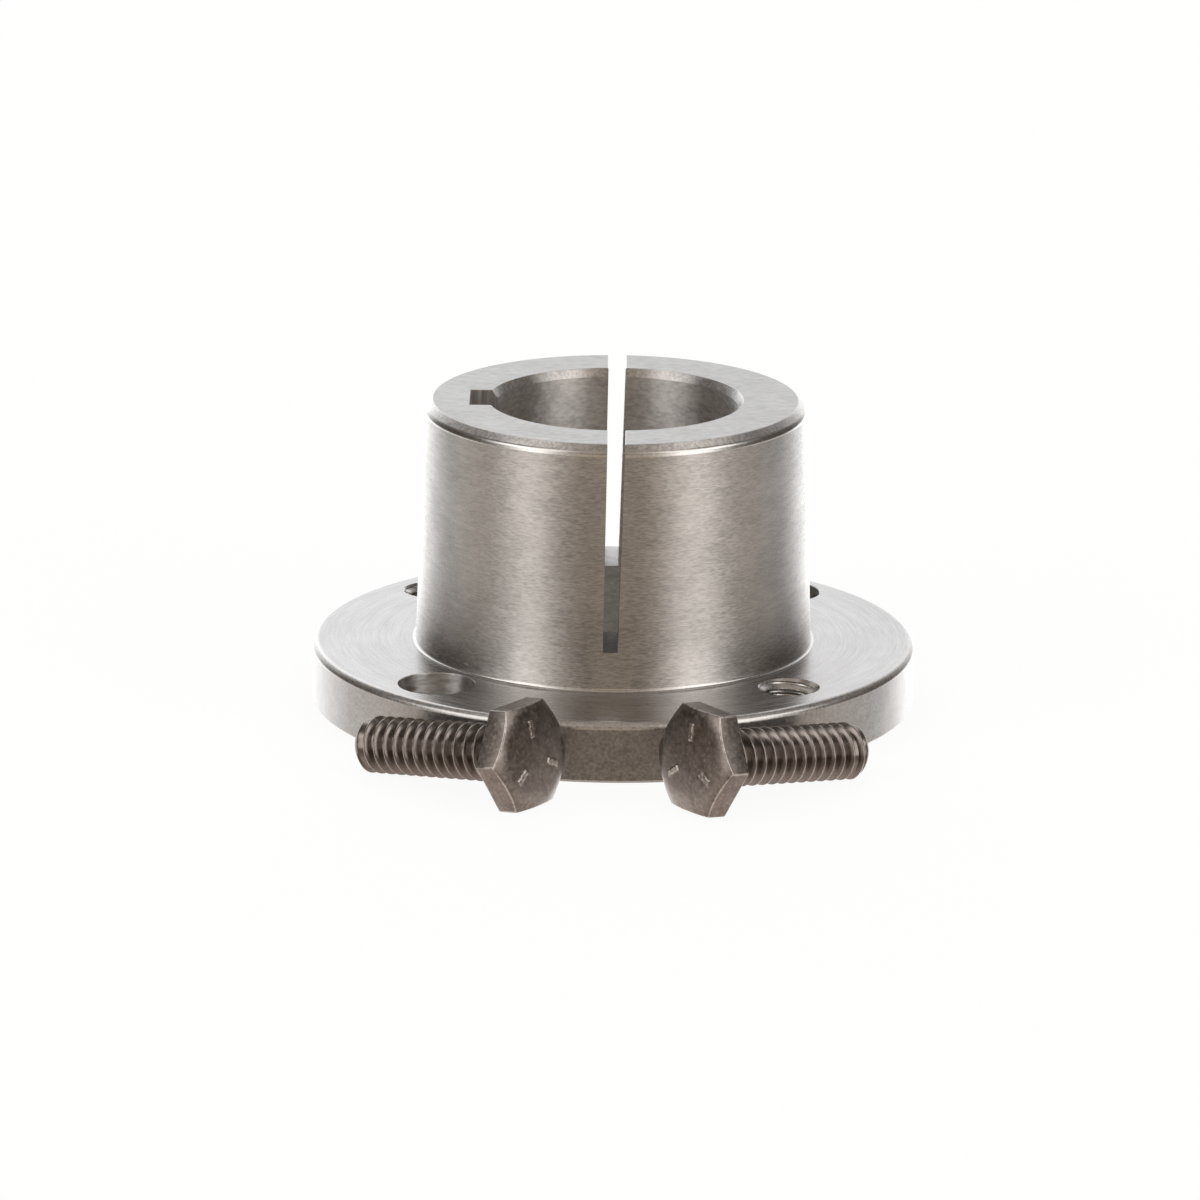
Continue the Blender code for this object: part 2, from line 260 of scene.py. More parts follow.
def spin_profile(points, closed, steps, lift=0.0):
    """A profile in the XZ half plane turned once about Z, climbing by lift per turn."""
    bm = bmesh.new()
    verts = [bm.verts.new((point.x, 0.0, point.y)) for point in points]
    edges = [bm.edges.new(pair) for pair in zip(verts, verts[1:])]
    if closed:
        edges.append(bm.edges.new((verts[-1], verts[0])))
    bmesh.ops.spin(
        bm,
        geom=verts + edges,
        axis=(0.0, 0.0, 1.0),
        cent=(0.0, 0.0, 0.0),
        dvec=(0.0, 0.0, lift / steps),
        angle=math.tau,
        steps=steps,
        use_duplicate=False,
    )
    bmesh.ops.remove_doubles(bm, verts=bm.verts, dist=MERGE_DISTANCE)
    bmesh.ops.recalc_face_normals(bm, faces=bm.faces)
    return bm


def turned_solid(name, corners, steps, materials, closed=False):
    """A solid turned about Z from rounded corners; an open profile starts and ends on Z."""
    profile = rounded_profile(corners, closed)
    return object_from_bmesh(spin_profile(profile, closed, steps), name, materials)


def six_sided(name, section_at, low, high, materials):
    """A block between two heights; section_at(z) gives x_low, x_high, y_low, y_high there."""
    bm = bmesh.new()
    bmesh.ops.create_cube(bm, size=1.0)
    for vert in bm.verts:
        z = high if vert.co.z > 0.0 else low
        x_low, x_high, y_low, y_high = section_at(z)
        vert.co.x = x_high if vert.co.x > 0.0 else x_low
        vert.co.y = y_high if vert.co.y > 0.0 else y_low
        vert.co.z = z
    return object_from_bmesh(bm, name, materials)


def apply_modifiers(obj):
    """Replace the mesh by what its modifiers make of it."""
    depsgraph = bpy.context.evaluated_depsgraph_get()
    finished = bpy.data.meshes.new_from_object(obj.evaluated_get(depsgraph), depsgraph=depsgraph)
    old = obj.data
    obj.modifiers.clear()
    obj.data = finished
    finished.name = obj.name
    bpy.data.meshes.remove(old)


def boolean(obj, tools, operation):
    """Combine obj with each tool in turn, keep the tools' materials, and delete the tools."""
    for tool in tools:
        modifier = obj.modifiers.new(tool.name, "BOOLEAN")
        modifier.operation = operation
        modifier.solver = "EXACT"
        modifier.material_mode = "TRANSFER"
        modifier.object = tool
    apply_modifiers(obj)
    for tool in tools:
        bpy.data.objects.remove(tool, do_unlink=True)


def lay_in_place(obj, matrix):
    """Move the mesh, leaving the place each point had before as an attribute for the materials."""
    mesh = obj.data
    own = mesh.attributes.new(OWN_PLACE, "FLOAT_VECTOR", "POINT")
    for point, vert in zip(own.data, mesh.vertices):
        point.vector = vert.co
    mesh.transform(matrix)


def smooth_by_angle(obj):
    obj.data.shade_smooth()
    obj.data.set_sharp_from_angle(angle=SHARP_ANGLE)
    weighted = obj.modifiers.new("weighted", "WEIGHTED_NORMAL")
    weighted.weight = 100
    weighted.keep_sharp = True


# ---- threads

def eased(share, height):
    """0 to height with a level start and end, for a share from 0 to 1."""
    return height * share * share * (3.0 - 2.0 * share)


def thread_depth(share):
    """Height of a thread form, 0 at the root and 1 at the crest, round at both."""
    wave = 1.0 - abs(2.0 * share - 1.0)
    rise = min(max((wave - THREAD_ROOT_SHARE) / THREAD_FLANK_SHARE, 0.0), 1.0)
    return THREAD_STRAIGHT_SHARE * rise + eased(rise, THREAD_EASED_SHARE)


def thread_bmesh(root_radius, crest_radius, z_low, z_high, steps):
    """A right-hand thread about Z as one closed body with square ends.

    It is turned longer than asked at both ends and then cut to length.
    """
    turns = math.ceil((z_high - z_low) / THREAD_PITCH) + THREAD_SPARE_TURNS
    start = z_low - THREAD_LEAD_TURNS * THREAD_PITCH
    points = []
    for station in range(turns * THREAD_STATIONS + 1):
        share = (station % THREAD_STATIONS) / THREAD_STATIONS
        radius = root_radius + (crest_radius - root_radius) * thread_depth(share)
        points.append(Vector((radius, start + station * THREAD_PITCH / THREAD_STATIONS)))
    bm = spin_profile(points, False, steps, lift=THREAD_PITCH)
    for z, outward in ((z_low, -1.0), (z_high, 1.0)):
        bmesh.ops.bisect_plane(
            bm,
            geom=bm.verts[:] + bm.edges[:] + bm.faces[:],
            dist=MERGE_DISTANCE / 10.0,
            plane_co=(0.0, 0.0, z),
            plane_no=(0.0, 0.0, outward),
            clear_outer=True,
        )
        rim = []
        for edge in bm.edges:
            if edge.is_boundary and all(abs(v.co.z - z) < MERGE_DISTANCE for v in edge.verts):
                rim.append(edge)
        bmesh.ops.contextual_create(bm, geom=rim)
    bmesh.ops.recalc_face_normals(bm, faces=bm.faces)
    return bm


# ---- node helpers

def add_node(tree, kind, **settings):
    """A node whose inputs are given as constants or as sockets to link from."""
    node = tree.nodes.new(kind)
    inputs = settings.pop("inputs", {})
    for key, value in settings.items():
        setattr(node, key, value)
    for key, value in inputs.items():
        if isinstance(value, bpy.types.NodeSocket):
            tree.links.new(value, node.inputs[key])
        else:
            node.inputs[key].default_value = value
    return node


def math_node(tree, operation, first, second):
    inputs = {0: first, 1: second}
    return add_node(tree, "ShaderNodeMath", operation=operation, inputs=inputs).outputs[0]


def vector_math(tree, operation, inputs, output="Vector"):
    node = add_node(tree, "ShaderNodeVectorMath", operation=operation, inputs=inputs)
    return node.outputs[output]


def map_range(tree, value, low, high, to_low, to_high):
    inputs = {
        "Value": value,
        "From Min": low,
        "From Max": high,
        "To Min": to_low,
        "To Max": to_high,
    }
    return add_node(tree, "ShaderNodeMapRange", inputs=inputs).outputs["Result"]


def noise_node(tree, vector, layer):
    scale, detail, roughness, _ = layer
    inputs = {"Vector": vector, "Scale": scale, "Detail": detail, "Roughness": roughness}
    return add_node(tree, "ShaderNodeTexNoise", inputs=inputs).outputs["Fac"]


def layered_tone(tree, layers):
    """Sum of (noise socket, layer) pairs by the layers' shares, spread over 0 to 1."""
    parts = [math_node(tree, "MULTIPLY", noise, layer[-1]) for noise, layer in layers]
    tone = parts[0]
    for part in parts[1:]:
        tone = math_node(tree, "ADD", tone, part)
    return map_range(tree, tone, *TONE_RANGE, 0.0, 1.0)


def mix_colour(tree, factor, first, second):
    node = add_node(tree, "ShaderNodeMix", data_type="RGBA")
    sockets = [s for s in node.inputs if s.enabled]
    for socket, value in zip(sockets, (factor, first, second)):
        if isinstance(value, bpy.types.NodeSocket):
            tree.links.new(value, socket)
        else:
            socket.default_value = value
    return [s for s in node.outputs if s.enabled][0]


def new_material(name):
    material = bpy.data.materials.new(name)
    material.use_nodes = True
    tree = material.node_tree
    return material, tree, tree.nodes["Principled BSDF"]


def millimetres(tree):
    """Coordinates in millimetres that were the piece's own before it was laid in place."""
    place = add_node(tree, "ShaderNodeAttribute", attribute_name=OWN_PLACE).outputs["Vector"]
    return vector_math(tree, "SCALE", {0: place, "Scale": 1.0 / MM})


def stretched(tree, vector, scale):
    """Coordinates in which noise runs along the axes with the smaller scales."""
    return vector_math(tree, "MULTIPLY", {0: vector, 1: scale})


def axis_distance(tree, vector):
    """Distance from the Z axis, and the X and Y it was found from."""
    split = add_node(tree, "ShaderNodeSeparateXYZ", inputs={0: vector})
    x, y = split.outputs[0], split.outputs[1]
    flat = add_node(tree, "ShaderNodeCombineXYZ", inputs={0: x, 1: y})
    return vector_math(tree, "LENGTH", {0: flat.outputs[0]}, "Value"), x, y


def ring_vector(tree, vector, radial, around):
    """Coordinates in which noise runs in rings about the axis."""
    radius, x, y = axis_distance(tree, vector)
    first = math_node(tree, "MULTIPLY", radius, radial)
    second = math_node(tree, "MULTIPLY", x, around)
    third = math_node(tree, "MULTIPLY", y, around)
    return add_node(tree, "ShaderNodeCombineXYZ", inputs={0: first, 1: second, 2: third}).outputs[0]


# ---- materials

# Steel colours
STEEL_LIGHT = (0.70, 0.68, 0.66, 1.0)
STEEL_DARK = (0.44, 0.425, 0.41, 1.0)
TURNED_LIGHT = (0.73, 0.705, 0.685, 1.0)
TURNED_DARK = (0.41, 0.395, 0.38, 1.0)
# Painted shade: the flange's side and back chamfer are darker than the barrel, for the shaded floor
# they face
RIM_PAINTED_SHADE_LIGHT = (0.435, 0.42, 0.41, 1.0)
RIM_PAINTED_SHADE_DARK = (0.305, 0.29, 0.28, 1.0)
EDGE_LIGHT = (0.63, 0.615, 0.60, 1.0)
EDGE_DARK = (0.54, 0.525, 0.51, 1.0)
BROKEN_DARK = (0.47, 0.455, 0.44, 1.0)
BORED_LIGHT = (0.80, 0.775, 0.75, 1.0)
BORED_DARK = (0.54, 0.52, 0.50, 1.0)
FACED_LIGHT = (0.61, 0.595, 0.59, 1.0)
FACED_DARK = (0.48, 0.465, 0.46, 1.0)
NOSE_LIGHT = (0.50, 0.49, 0.48, 1.0)
NOSE_DARK = (0.34, 0.33, 0.32, 1.0)
# Painted shade: a near-black tone for the floor of the front saw slot, a narrow recess in shade
PAINTED_SHADE_LIGHT = (0.26, 0.25, 0.24, 1.0)
PAINTED_SHADE_DARK = (0.10, 0.095, 0.09, 1.0)

# Black oxide colours
OXIDE_LIGHT = (0.305, 0.265, 0.245, 1.0)
OXIDE_DARK = (0.17, 0.145, 0.13, 1.0)
ROLLED_LIGHT = (0.235, 0.207, 0.192, 1.0)
ROLLED_DARK = (0.195, 0.168, 0.155, 1.0)
# Lighter metal for head edges, raised dashes and thread crests: partly worn oxide, partly painted
# highlight
WEAR_AND_SHEEN_LIGHT = (0.62, 0.59, 0.56, 1.0)
WEAR_AND_SHEEN_DARK = (0.30, 0.27, 0.25, 1.0)
POINT_LIGHT = (0.37, 0.335, 0.315, 1.0)
POINT_DARK = (0.28, 0.245, 0.23, 1.0)

# Noise layers: scale, detail, roughness, share in the tone between dark and light
STEEL_FINE = (1.0, 1.5, 0.6, 0.62)
STEEL_COARSE = (0.30, 2.0, 0.5, 0.20)
STEEL_BLOTCH = (0.22, 3.0, 0.5, 0.18)
OXIDE_GRAIN = (2.6, 4.0, 0.6, 0.6)
OXIDE_CLOUD = (0.55, 2.0, 0.5, 0.4)
TONE_RANGE = (0.38, 0.62)
ROUGHNESS_RANGE = (0.3, 0.7)

# Bare metal that shows through the oxide in specks; thread crests lighter as wear and painted
# highlight
SPECK_RANGE = (0.60, 0.75)
SPECK_WEAR = 0.3
CREST_WEAR_AND_SHEEN_DEPTH_MM = 0.04
CREST_WEAR_AND_SHEEN = 0.34

# Share of a turn from the direction around the axis to that of the stretched highlights
BRUSH_ROTATION = 0.25


def finish_surface(tree, shader, colour, noise, roughness, spread, bump_mm):
    """Metal of one colour socket, its roughness and bump following one noise."""
    tree.links.new(colour, shader.inputs["Base Color"])
    rough = map_range(tree, noise, *ROUGHNESS_RANGE, roughness - spread, roughness + spread)
    tree.links.new(rough, shader.inputs["Roughness"])
    inputs = {"Height": noise, "Strength": 1.0, "Distance": bump_mm * MM}
    bump = add_node(tree, "ShaderNodeBump", inputs=inputs)
    tree.links.new(bump.outputs[0], shader.inputs["Normal"])
    shader.inputs["Metallic"].default_value = 1.0


def brush(tree, shader, anisotropy):
    """Tool lines around the axis throw highlights along it."""
    normal = add_node(tree, "ShaderNodeNewGeometry").outputs["Normal"]
    around = vector_math(tree, "CROSS_PRODUCT", {0: normal, 1: UP})
    tree.links.new(around, shader.inputs["Tangent"])
    shader.inputs["Anisotropic"].default_value = anisotropy
    shader.inputs["Anisotropic Rotation"].default_value = BRUSH_ROTATION


def steel_material(name, marks, roughness, spread, bump_mm, light, dark, anisotropy):
    """Bare machined steel; marks(tree, mm) gives the coordinates its tool marks run in."""
    material, tree, shader = new_material(name)
    mm = millimetres(tree)
    direction = marks(tree, mm)
    fine = noise_node(tree, direction, STEEL_FINE)
    coarse = noise_node(tree, direction, STEEL_COARSE)
    blotch = noise_node(tree, mm, STEEL_BLOTCH)
    layers = ((fine, STEEL_FINE), (coarse, STEEL_COARSE), (blotch, STEEL_BLOTCH))
    colour = mix_colour(tree, layered_tone(tree, layers), dark, light)
    finish_surface(tree, shader, colour, fine, roughness, spread, bump_mm)
    if anisotropy:
        brush(tree, shader, anisotropy)
    return material


def oxide_material(name, crest_wear_and_sheen, roughness, spread, bump_mm, light, dark):
    """Black oxide over rolled or forged steel, lighter in worn specks or at crests as wear and
    painted highlight.
    """
    material, tree, shader = new_material(name)
    mm = millimetres(tree)
    grain = noise_node(tree, mm, OXIDE_GRAIN)
    cloud = noise_node(tree, mm, OXIDE_CLOUD)
    tone = layered_tone(tree, ((grain, OXIDE_GRAIN), (cloud, OXIDE_CLOUD)))
    colour = mix_colour(tree, tone, dark, light)
    # crests of a thread: lighter as worn oxide and painted highlight; otherwise worn specks
    if crest_wear_and_sheen:
        radius, _, _ = axis_distance(tree, mm)
        crest = SCREW_CREST_RADIUS / MM
        wear_and_sheen = map_range(tree, radius, crest - CREST_WEAR_AND_SHEEN_DEPTH_MM, crest, 0.0, CREST_WEAR_AND_SHEEN)
    else:
        wear_and_sheen = map_range(tree, grain, *SPECK_RANGE, 0.0, SPECK_WEAR)
    colour = mix_colour(tree, wear_and_sheen, colour, WEAR_AND_SHEEN_LIGHT)
    finish_surface(tree, shader, colour, grain, roughness, spread, bump_mm)
    return material


def lathe_marks(tree, mm):
    """Fine lines around a turned side."""
    return stretched(tree, mm, (1.5, 1.5, 8.5))


def rim_marks(tree, mm):
    """A nearly even grain."""
    return stretched(tree, mm, (3.2, 3.2, 3.8))


def bore_marks(tree, mm):
    """Wider lines around the bore."""
    return stretched(tree, mm, (1.3, 1.3, 3.0))


def facing_marks(tree, mm):
    """Rings on a face turned square to the axis."""
    return ring_vector(tree, mm, 4.2, 0.22)


def rubbed_marks(tree, mm):
    """Straight faint rub marks across the nose face."""
    return stretched(tree, mm, (0.9, 1.8, 2.0))


def saw_marks(tree, mm):
    """Level lines along the walls of the slot."""
    return stretched(tree, mm, (0.5, 0.5, 4.0))


def broach_marks(tree, mm):
    """Upright lines along the keyway."""
    return stretched(tree, mm, (5.0, 5.0, 0.3))


def drill_marks(tree, mm):
    """Lines around a drilled hole."""
    return stretched(tree, mm, (0.8, 0.8, 3.0))


# Tool marks, roughness, its spread, bump in mm, light, dark, anisotropy
STEEL_FINISHES = {
    "turned": (lathe_marks, 0.42, 0.09, 0.007, TURNED_LIGHT, TURNED_DARK, 0.97),
    # the rim's darker tone is painted shade on the flange's side and back chamfer
    "rim": (rim_marks, 0.34, 0.06, 0.0015, RIM_PAINTED_SHADE_LIGHT, RIM_PAINTED_SHADE_DARK, 0.0),
    "edge": (rim_marks, 0.22, 0.03, 0.0010, EDGE_LIGHT, EDGE_DARK, 0.0),
    "broken": (rim_marks, 0.31, 0.04, 0.0010, EDGE_LIGHT, BROKEN_DARK, 0.0),
    "chamfer": (rim_marks, 0.40, 0.06, 0.003, TURNED_LIGHT, STEEL_DARK, 0.90),
    "mouth": (rim_marks, 0.36, 0.06, 0.002, TURNED_LIGHT, STEEL_DARK, 0.95),
    "tapped": (rim_marks, 0.24, 0.06, 0.002, EDGE_LIGHT, EDGE_DARK, 0.0),
    "faced": (facing_marks, 0.28, 0.05, 0.004, FACED_LIGHT, FACED_DARK, 0.0),
    "rubbed": (rubbed_marks, 0.32, 0.04, 0.003, NOSE_LIGHT, NOSE_DARK, 0.0),
    "bored": (bore_marks, 0.48, 0.08, 0.006, BORED_LIGHT, BORED_DARK, 0.95),
    "sawn": (saw_marks, 0.45, 0.10, 0.020, STEEL_LIGHT, STEEL_DARK, 0.0),
    "broached": (broach_marks, 0.42, 0.08, 0.005, STEEL_LIGHT, STEEL_DARK, 0.0),
    "drilled": (drill_marks, 0.40, 0.08, 0.010, STEEL_LIGHT, STEEL_DARK, 0.90),
    # painted shade on the floor of the front saw slot
    "grimy": (broach_marks, 0.55, 0.10, 0.020, PAINTED_SHADE_LIGHT, PAINTED_SHADE_DARK, 0.0),
}

# Crests lighter (wear and painted highlight) or not, roughness, its spread, bump in mm, light, dark
OXIDE_FINISHES = {
    "forged": (False, 0.36, 0.07, 0.014, OXIDE_LIGHT, OXIDE_DARK),
    "rolled": (True, 0.23, 0.02, 0.0003, ROLLED_LIGHT, ROLLED_DARK),
    # rounded edges and raised dashes of the head: worn oxide and painted highlight
    "wear_and_sheen": (False, 0.30, 0.07, 0.008, WEAR_AND_SHEEN_LIGHT, WEAR_AND_SHEEN_DARK),
    "pointed": (False, 0.58, 0.05, 0.001, POINT_LIGHT, POINT_DARK),
}


def make_materials(prefix, make, finishes):
    """One material for each finish, in the table's order."""
    return {key: make(prefix + key, *values) for key, values in finishes.items()}


# ---- bushing

def barrel_radius(z):
    """Radius of the tapered barrel at one height."""
    return BARREL_BASE_RADIUS - BARREL_TAPER * (z - FLANGE_THICKNESS)


def bushing_corners():
    """Section of the bushing from the nose down the outside and back up the bore."""
    shoulder = TOTAL_LENGTH - NOSE_CHAMFER_HEIGHT
    rim = FLANGE_RADIUS
    bore_mouth = BORE_RADIUS + BORE_CHAMFER_RADIAL
    return [
        (NOSE_FACE_RADIUS, TOTAL_LENGTH, NOSE_FACE_ROUND),
        (barrel_radius(shoulder), shoulder, NOSE_ROUND),
        (barrel_radius(FLANGE_THICKNESS), FLANGE_THICKNESS, BASE_FILLET),
        (rim - FLANGE_TOP_CHAMFER, FLANGE_THICKNESS, FLANGE_ROUND),
        (rim, FLANGE_THICKNESS - FLANGE_TOP_CHAMFER, FLANGE_ROUND),
        (rim, FLANGE_BACK_CHAMFER, EDGE_BREAK),
        (rim - FLANGE_BACK_CHAMFER, 0.0, EDGE_BREAK),
        (BORE_RADIUS + BORE_BACK_CHAMFER, 0.0, EDGE_BREAK),
        (BORE_RADIUS, BORE_BACK_CHAMFER, EDGE_BREAK),
        (BORE_RADIUS, TOTAL_LENGTH - BORE_CHAMFER_AXIAL, EDGE_BREAK),
        (bore_mouth, TOTAL_LENGTH, EDGE_BREAK),
    ]


def slot_section(z, lip):
    """The slot's two sides at one height, each moved outward by lip."""
    share = (z - SLOT_FLOOR_Z) / (TOTAL_LENGTH - SLOT_FLOOR_Z)
    middle = SLOT_X_FLOOR + share * (SLOT_X_NOSE - SLOT_X_FLOOR)
    half = (SLOT_WIDTH_FLOOR + share * (SLOT_WIDTH_NOSE - SLOT_WIDTH_FLOOR)) / 2.0
    return middle - half - lip, middle + half + lip


def lip_cutter(name, materials, outer_at, inner_at, wide, side):
    """Bevels both long edges of the slot where it meets one round surface.

    outer_at(z) and inner_at(z) are the distances from the axis where the bevel is
    full width and where it ends; side is -1 at the front wall and +1 at the rear.
    """
    bm = bmesh.new()
    bmesh.ops.create_cube(bm, size=1.0)
    for vert in bm.verts:
        z = TOTAL_LENGTH + CUT_OVERRUN if vert.co.z > 0.0 else SLOT_FLOOR_Z
        at_wide = vert.co.y > 0.0
        x_low, x_high = slot_section(z, wide if at_wide else 0.0)
        vert.co.x = x_high if vert.co.x > 0.0 else x_low
        vert.co.y = side * (outer_at(z) if at_wide else inner_at(z))
        vert.co.z = z
    bmesh.ops.recalc_face_normals(bm, faces=bm.faces)
    return object_from_bmesh(bm, name, materials)


def slot_cutters(sawn, edge):
    """The saw slot through both walls and the bevels along its upper edges."""
    top = TOTAL_LENGTH + CUT_OVERRUN
    span = SLOT_HALF_SPAN
    over = SMALL_OVERRUN
    low = TOTAL_LENGTH - SLOT_LIP / 2.0

    def straight(z):
        x_low, x_high = slot_section(z, 0.0)
        return x_low, x_high, -span, span

    def flare(z):
        x_low, x_high = slot_section(z, max(z - low, 0.0))
        return x_low, x_high, -span, span

    cutters = [six_sided("slot", straight, SLOT_FLOOR_Z, top, sawn)]
    for side in (-1.0, 1.0):
        cutters.append(
            lip_cutter(
                "slot_lip_outer",
                edge,
                lambda z: barrel_radius(z) + over,
                lambda z: barrel_radius(z) - SLOT_LIP,
                SLOT_LIP + over,
                side,
            )
        )
        cutters.append(
            lip_cutter(
                "slot_lip_bore",
                edge,
                lambda z: BORE_RADIUS - over,
                lambda z: BORE_RADIUS + SLOT_LIP / 2.0,
                SLOT_LIP / 2.0 + over,
                side,
            )
        )
    cutters.append(six_sided("slot_lip_nose", flare, low, low + over, edge))
    return cutters


def keyway_cutters(broached):
    """The full-length keyway and the bevel along its upper edges."""
    half = KEYWAY_WIDTH / 2.0
    top = TOTAL_LENGTH + CUT_OVERRUN
    low = TOTAL_LENGTH - KEYWAY_LIP

    def plain(_):
        return -KEYWAY_FLOOR, -KEYWAY_START, -half, half

    def flare(z):
        grow = max(z - low, 0.0)
        return -KEYWAY_FLOOR - grow, -KEYWAY_START, -half - grow, half + grow

    return [
        six_sided("keyway", plain, -CUT_OVERRUN, top, broached),
        six_sided("keyway_lip", flare, low, low + SMALL_OVERRUN, broached),
    ]


def hole_place(angle_degrees, radius):
    angle = math.radians(angle_degrees)
    return Vector((radius * math.cos(angle), radius * math.sin(angle), 0.0))


def round_cutter(name, corners, centre, materials):
    cutter = turned_solid(name, corners, HOLE_STEPS, materials)
    cutter.data.transform(Matrix.Translation(centre))
    return cutter


def clearance_corners():
    """A plain hole with a lightly broken edge at both faces."""
    lip = CLEARANCE_LIP
    over = SMALL_OVERRUN
    wide = CLEARANCE_RADIUS + lip + over
    return [
        (0.0, FLANGE_THICKNESS + over, 0.0),
        (wide, FLANGE_THICKNESS + over, 0.0),
        (CLEARANCE_RADIUS, FLANGE_THICKNESS - lip, 0.0),
        (CLEARANCE_RADIUS, lip, 0.0),
        (wide, -over, 0.0),
        (0.0, -over, 0.0),
    ]


def countersink_corners(face_z, outward):
    """A 45 degree countersink in a face that looks up (outward 1) or down (outward -1)."""
    deep = face_z - outward * COUNTERSINK_DEPTH
    high = face_z + outward * SMALL_OVERRUN
    inner = COUNTERSINK_RADIUS - COUNTERSINK_DEPTH
    outer = COUNTERSINK_RADIUS + SMALL_OVERRUN
    rows = [(0.0, high, 0.0), (outer, high, 0.0), (inner, deep, 0.0), (0.0, deep, 0.0)]
    return rows if outward > 0.0 else rows[::-1]


def hole_cutters(drilled, tapped, edge):
    """The two plain and the two tapped holes of the flange."""
    bottom = -CUT_OVERRUN
    top = FLANGE_THICKNESS + CUT_OVERRUN
    cutters = []
    for angle, radius in CLEARANCE_HOLES:
        centre = hole_place(angle, radius)
        cutters.append(round_cutter("clearance", clearance_corners(), centre, drilled))
    for angle, radius in TAPPED_HOLES:
        centre = hole_place(angle, radius)
        bm = thread_bmesh(TAP_MINOR_RADIUS, TAP_MAJOR_RADIUS, bottom, top, TAP_THREAD_STEPS)
        bm.transform(Matrix.Translation(centre) @ Matrix.Rotation(TAP_TURN, 4, "Z"))
        cutters.append(object_from_bmesh(bm, "tap", tapped))
        for face_z, outward in ((FLANGE_THICKNESS, 1.0), (0.0, -1.0)):
            cutters.append(round_cutter("sink", countersink_corners(face_z, outward), centre, edge))
    return cutters


def finish_of(centre, normal):
    """The finish of one face of the plain turning."""
    on_nose = centre.z > TOTAL_LENGTH / 2.0
    if abs(normal.z) > LEVEL_FACE_RISE:
        return "rubbed" if on_nose else "faced"
    radius = math.hypot(centre.x, centre.y)
    # the flange's back chamfer and side take the rim finish, whose darker tone is painted shade
    if centre.z < FLANGE_BACK_CHAMFER + EDGE_BREAK and radius > BARREL_BASE_RADIUS:
        return "rim"
    if abs(normal.z) > SLOPING_FACE_RISE:
        if radius < BORE_RADIUS + BORE_CHAMFER_RADIAL:
            return "mouth"
        if radius > FLANGE_RADIUS - FLANGE_TOP_CHAMFER - FLANGE_ROUND:
            return "broken"
        outside_nose = on_nose and radius > NOSE_FACE_RADIUS - NOSE_FACE_ROUND
        return "chamfer" if outside_nose and normal.z > NOSE_CHAMFER_RISE else "edge"
    if radius < BORE_RADIUS + BORE_CHAMFER_RADIAL:
        return "bored"
    return "rim" if radius > BARREL_BASE_RADIUS + BASE_FILLET else "turned"


def paint_front_slot_floor(obj, material_name):
    """Painted shade: a dark finish on the floor of the front saw slot, for its narrow recess."""
    index = obj.data.materials.find(material_name)
    for face in obj.data.polygons:
        near_floor = abs(face.center.z - SLOT_FLOOR_Z) < EDGE_BREAK
        if near_floor and face.normal.z > SLOT_FLOOR_RISE and face.center.y < 0.0:
            face.material_index = index


def build_bushing():
    finishes = make_materials("steel_", steel_material, STEEL_FINISHES)
    order = list(finishes)
    corners = bushing_corners()
    bushing = turned_solid("bushing", corners, BUSHING_STEPS, finishes.values(), closed=True)
    for face in bushing.data.polygons:
        face.material_index = order.index(finish_of(face.center, face.normal))
    cutters = slot_cutters([finishes["sawn"]], [finishes["edge"]])
    cutters += keyway_cutters([finishes["broached"]])
    cutters += hole_cutters([finishes["drilled"]], [finishes["tapped"]], [finishes["edge"]])
    boolean(bushing, cutters, "DIFFERENCE")
    # the floor of the front saw slot takes the painted shade finish
    paint_front_slot_floor(bushing, "steel_grimy")
    lay_in_place(bushing, Matrix.Translation(AXIS))
    smooth_by_angle(bushing)
    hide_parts("split_taper_bushing")
    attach(bushing, "bushing")


# ---- cap screws

def screw_matrix(x, y, yaw_degrees):
    """Places a screw with one head flat and the tip on the floor.

    Its own Z runs from the head to the tip and its own X is level.
    """
    yaw = math.radians(yaw_degrees)
    rise = HEAD_ACROSS_FLATS / 2.0 - SCREW_CREST_RADIUS
    tilt = math.atan2(rise, SHANK_LENGTH - TIP_CHAMFER_LENGTH)
    run = math.cos(tilt)
    along = Vector((math.cos(yaw) * run, math.sin(yaw) * run, -math.sin(tilt)))
    level = Vector((-math.sin(yaw), math.cos(yaw), 0.0))
    matrix = Matrix((level, along.cross(level), along)).transposed().to_4x4()
    matrix.translation = Vector((x, y, HEAD_ACROSS_FLATS / 2.0 * run))
    return matrix


def hexagon_radius(off_corner):
    """Distance from the axis to the head's side, off_corner radians from the nearest corner."""
    apothem = HEAD_ACROSS_FLATS / 2.0
    centre = (apothem - HEAD_CORNER) / math.cos(math.pi / 6.0)
    tangent = math.pi / 6.0 - math.atan2(centre / 2.0, apothem)
    if abs(off_corner) < tangent:
        sine = centre * math.sin(off_corner)
        return centre * math.cos(off_corner) + math.sqrt(HEAD_CORNER * HEAD_CORNER - sine * sine)
    return apothem / math.cos(math.pi / 6.0 - abs(off_corner))


def mark_rise(x, y):
    """Height of the three raised radial dashes at one point of the head's top."""
    rise = 0.0
    for turn in MARK_TURNS:
        angle = math.radians(turn)
        along = x * math.cos(angle) + y * math.sin(angle) - MARK_RADIUS
        across = -x * math.sin(angle) + y * math.cos(angle)
        inside = min(MARK_LENGTH / 2.0 - abs(along), MARK_WIDTH / 2.0 - abs(across))
        share = min(max(inside / MARK_SIDE_WIDTH, 0.0), 1.0)
        rise = max(rise, eased(share, MARK_HEIGHT))
    return rise


def head_top(radius):
    """Drop of the domed top and its chamfer below the highest plane, at one radius."""
    blend = HEAD_CHAMFER_BLEND
    cone = HEAD_CHAMFER_SLOPE * blend * math.log1p(math.exp((radius - HEAD_TOP_RADIUS) / blend))
    return MARK_HEIGHT + HEAD_DOME * (radius / HEAD_TOP_RADIUS) ** 2 + cone


